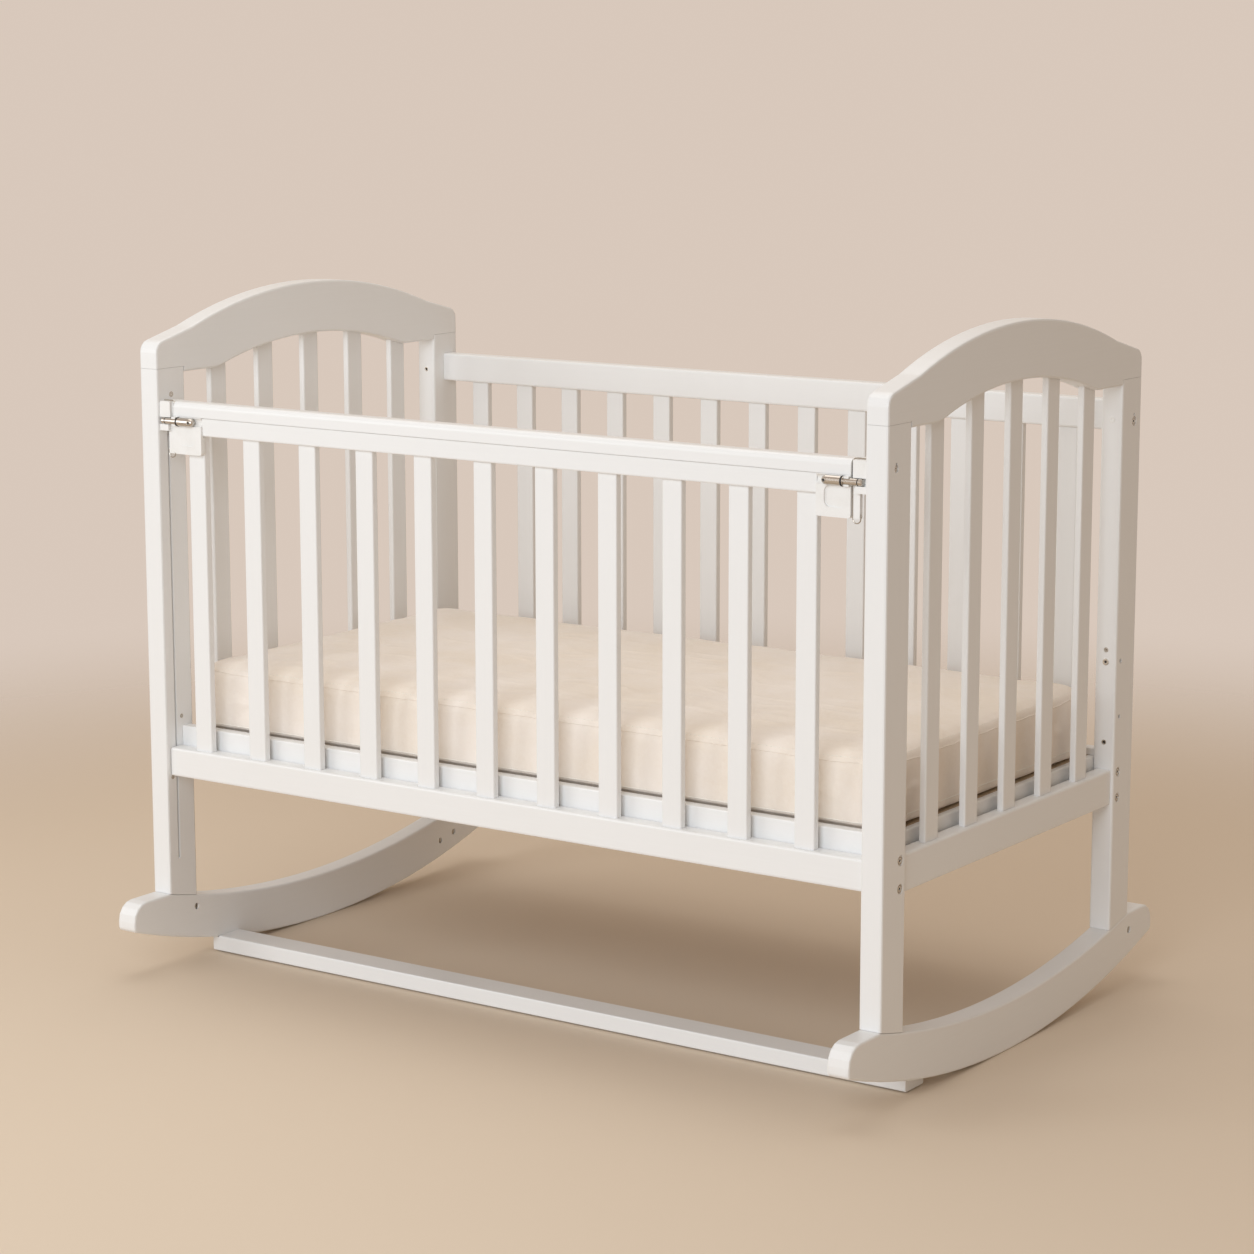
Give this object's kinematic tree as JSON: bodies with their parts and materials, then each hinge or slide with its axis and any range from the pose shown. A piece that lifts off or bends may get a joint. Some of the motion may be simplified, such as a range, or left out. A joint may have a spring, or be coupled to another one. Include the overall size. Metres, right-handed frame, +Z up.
{
  "type": "rocking crib",
  "caption": "Slatted baby's crib on curved rockers, with arched ends, a mattress, a sliding front side held by spring latches, and a stop bar.",
  "frame": {"origin": "on the floor, under the middle of the crib's bounding box", "axes": "+X along the bed to the right as seen from the drop side, +Y from the drop side to the back, +Z up"},
  "size_m": [1.27, 0.88, 1.015],
  "materials": {
    "rocker_left": "satin white paint on beech",
    "post_front_left": "satin white paint on beech",
    "post_back_left": "satin white paint on beech",
    "arch_left": "satin white paint on beech",
    "end_rail_left": "satin white paint on beech",
    "end_slat_left_1": "satin white paint on beech",
    "end_slat_left_2": "satin white paint on beech",
    "end_slat_left_3": "satin white paint on beech",
    "end_slat_left_4": "satin white paint on beech",
    "end_slat_left_5": "satin white paint on beech",
    "latch_keeper_left": "moulded white plastic",
    "latch_keeper_spring_left": "nickel-plated spring wire",
    "rocker_right": "satin white paint on beech",
    "post_front_right": "satin white paint on beech",
    "post_back_right": "satin white paint on beech",
    "arch_right": "satin white paint on beech",
    "end_rail_right": "satin white paint on beech",
    "end_slat_right_1": "satin white paint on beech",
    "end_slat_right_2": "satin white paint on beech",
    "end_slat_right_3": "satin white paint on beech",
    "end_slat_right_4": "satin white paint on beech",
    "end_slat_right_5": "satin white paint on beech",
    "latch_keeper_right": "moulded white plastic",
    "latch_keeper_spring_right": "nickel-plated spring wire",
    "back_top_rail": "satin white paint on beech",
    "back_slat_panel": "satin white paint on beech",
    "base_end_board_left": "satin white paint on board",
    "base_end_board_right": "satin white paint on board",
    "base_board_front": "satin white paint on board",
    "base_board_back": "satin white paint on board",
    "base_centre_bar": "satin white paint on board",
    "base_panel": "plain board",
    "mattress": "woven cotton cover",
    "stop_bar": "satin white paint on beech",
    "bar_glide_left": "plain plastic pad",
    "bar_glide_right": "plain plastic pad",
    "side_cap_rail": "satin white paint on beech",
    "side_top_rail": "satin white paint on beech",
    "side_bottom_rail": "satin white paint on beech",
    "side_slat_1": "satin white paint on beech",
    "side_slat_2": "satin white paint on beech",
    "side_slat_3": "satin white paint on beech",
    "side_slat_4": "satin white paint on beech",
    "side_slat_5": "satin white paint on beech",
    "side_slat_6": "satin white paint on beech",
    "side_slat_7": "satin white paint on beech",
    "side_slat_8": "satin white paint on beech",
    "side_slat_9": "satin white paint on beech",
    "side_slat_10": "satin white paint on beech",
    "side_slat_11": "satin white paint on beech",
    "guide_pin_upper_left": "plated steel",
    "guide_pin_lower_left": "plated steel",
    "latch_housing_left": "moulded white plastic",
    "guide_pin_upper_right": "plated steel",
    "guide_pin_lower_right": "plated steel",
    "latch_housing_right": "moulded white plastic",
    "latch_bolt_left": "nickel-plated steel",
    "latch_bolt_right": "nickel-plated steel"
  },
  "bodies": {
    "frame": {"rocker_left": "rocker_left", "post_front_left": "post_front_left", "post_back_left": "post_back_left", "arch_left": "arch_left", "end_rail_left": "end_rail_left", "end_slat_left_1": "end_slat_left_1", "end_slat_left_2": "end_slat_left_2", "end_slat_left_3": "end_slat_left_3", "end_slat_left_4": "end_slat_left_4", "end_slat_left_5": "end_slat_left_5", "latch_keeper_left": "latch_keeper_left", "latch_keeper_spring_left": "latch_keeper_spring_left", "rocker_right": "rocker_right", "post_front_right": "post_front_right", "post_back_right": "post_back_right", "arch_right": "arch_right", "end_rail_right": "end_rail_right", "end_slat_right_1": "end_slat_right_1", "end_slat_right_2": "end_slat_right_2", "end_slat_right_3": "end_slat_right_3", "end_slat_right_4": "end_slat_right_4", "end_slat_right_5": "end_slat_right_5", "latch_keeper_right": "latch_keeper_right", "latch_keeper_spring_right": "latch_keeper_spring_right", "back_top_rail": "back_top_rail", "back_slat_panel": "back_slat_panel", "base_end_board_left": "base_end_board_left", "base_end_board_right": "base_end_board_right", "base_board_front": "base_board_front", "base_board_back": "base_board_back", "base_centre_bar": "base_centre_bar", "base_panel": "base_panel", "mattress": "mattress", "stop_bar": "stop_bar", "bar_glide_left": "bar_glide_left", "bar_glide_right": "bar_glide_right"},
    "drop_side": {"side_cap_rail": "side_cap_rail", "side_top_rail": "side_top_rail", "side_bottom_rail": "side_bottom_rail", "side_slat_1": "side_slat_1", "side_slat_2": "side_slat_2", "side_slat_3": "side_slat_3", "side_slat_4": "side_slat_4", "side_slat_5": "side_slat_5", "side_slat_6": "side_slat_6", "side_slat_7": "side_slat_7", "side_slat_8": "side_slat_8", "side_slat_9": "side_slat_9", "side_slat_10": "side_slat_10", "side_slat_11": "side_slat_11", "guide_pin_upper_left": "guide_pin_upper_left", "guide_pin_lower_left": "guide_pin_lower_left", "latch_housing_left": "latch_housing_left", "guide_pin_upper_right": "guide_pin_upper_right", "guide_pin_lower_right": "guide_pin_lower_right", "latch_housing_right": "latch_housing_right"},
    "latch_bolt_left": {"latch_bolt_left": "latch_bolt_left"},
    "latch_bolt_right": {"latch_bolt_right": "latch_bolt_right"}
  },
  "joints": [
    {"name": "drop_side_slide", "type": "slide", "parent": "frame", "child": "drop_side", "axis": [0, 0, -1], "range_m": [0, 0.15]},
    {"name": "latch_left_slide", "type": "slide", "parent": "drop_side", "child": "latch_bolt_left", "axis": [1, 0, 0], "range_m": [0, 0.012], "stiffness_N_per_m": 400, "springref_m": -0.004},
    {"name": "latch_right_slide", "type": "slide", "parent": "drop_side", "child": "latch_bolt_right", "axis": [-1, 0, 0], "range_m": [0, 0.012], "stiffness_N_per_m": 400, "springref_m": -0.004}
  ]
}
